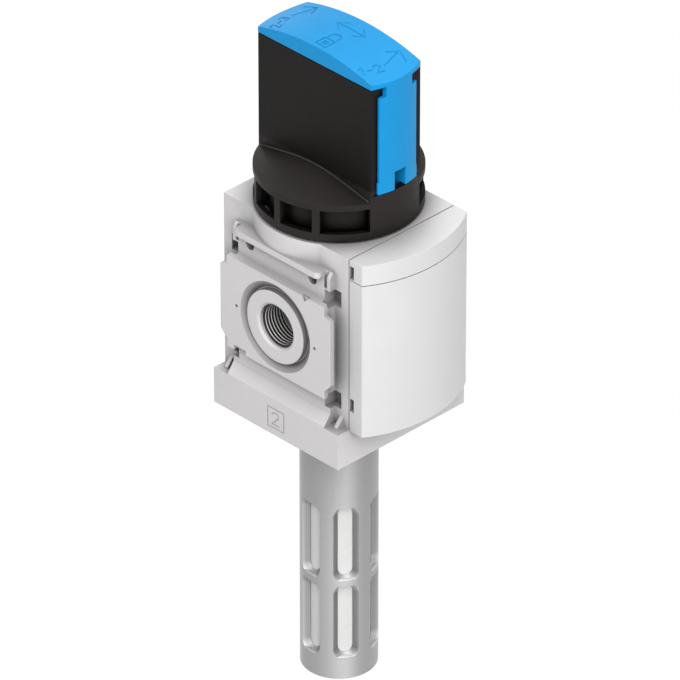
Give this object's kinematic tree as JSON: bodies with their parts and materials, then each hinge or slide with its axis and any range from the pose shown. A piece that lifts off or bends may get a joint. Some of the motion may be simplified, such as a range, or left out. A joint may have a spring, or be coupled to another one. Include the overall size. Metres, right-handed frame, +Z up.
{
  "type": "pneumatic switch-on valve",
  "caption": "Inline pneumatic switch-on valve: cast module with two threaded side ports, lockable rotary knob on top and a slotted exhaust silencer below.",
  "frame": {"origin": "middle of the outlet port's mouth (port 2), on the left port face", "axes": "+X from the outlet to the supply port, +Y to the back (covers on -Y), +Z up through the knob"},
  "size_m": [0.062, 0.0758, 0.2592],
  "materials": {
    "cast_aluminium": "painted light grey die casting",
    "cover": "satin pale grey",
    "black_plastic": "satin",
    "blue_plastic": "satin",
    "white_plastic": "sintered, matte",
    "steel": "turned",
    "turned_aluminium": "satin",
    "brass": "turned",
    "rubber": "matte"
  },
  "bodies": {
    "body": {"housing": "cast_aluminium", "front_cover": "cover", "upper_cover": "cover", "bonnet": "black_plastic", "bonnet_screws": "steel", "bonnet_o_ring": "rubber", "lock_ring": "steel", "ring_clip": "steel", "thrust_washer": "white_plastic", "valve_sleeve": "brass", "sleeve_seals": "rubber", "return_spring": "steel", "silencer_nipple": "brass", "silencer_washer": "white_plastic", "silencer_tube": "turned_aluminium", "silencer_insert": "white_plastic", "silencer_end_disc": "turned_aluminium"},
    "rotary_knob": {"knob": "black_plastic", "knob_screw": "steel", "cam_spindle": "steel", "spindle_o_ring": "rubber"},
    "locking_slide": {"lock_slide": "blue_plastic"},
    "valve_spool": {"spool": "turned_aluminium", "cross_pin": "steel", "spool_seals": "rubber"}
  },
  "joints": [
    {"name": "knob_turn", "type": "hinge", "parent": "body", "child": "rotary_knob", "pos_m": [0.031, 0, 0.06], "axis": [0, 0, 1], "range_deg": [0, 90]},
    {"name": "slide_lift", "type": "slide", "parent": "rotary_knob", "child": "locking_slide", "axis": [0, 0, 1], "range_m": [0, 0.008]},
    {"name": "spool_travel", "type": "slide", "parent": "body", "child": "valve_spool", "axis": [0, 0, -1], "range_m": [0, 0.006], "deforming": ["return_spring"]}
  ],
  "couplings": [
    {"joint": "spool_travel", "follows": "knob_turn", "m_per_rad": 0.0038197}
  ]
}
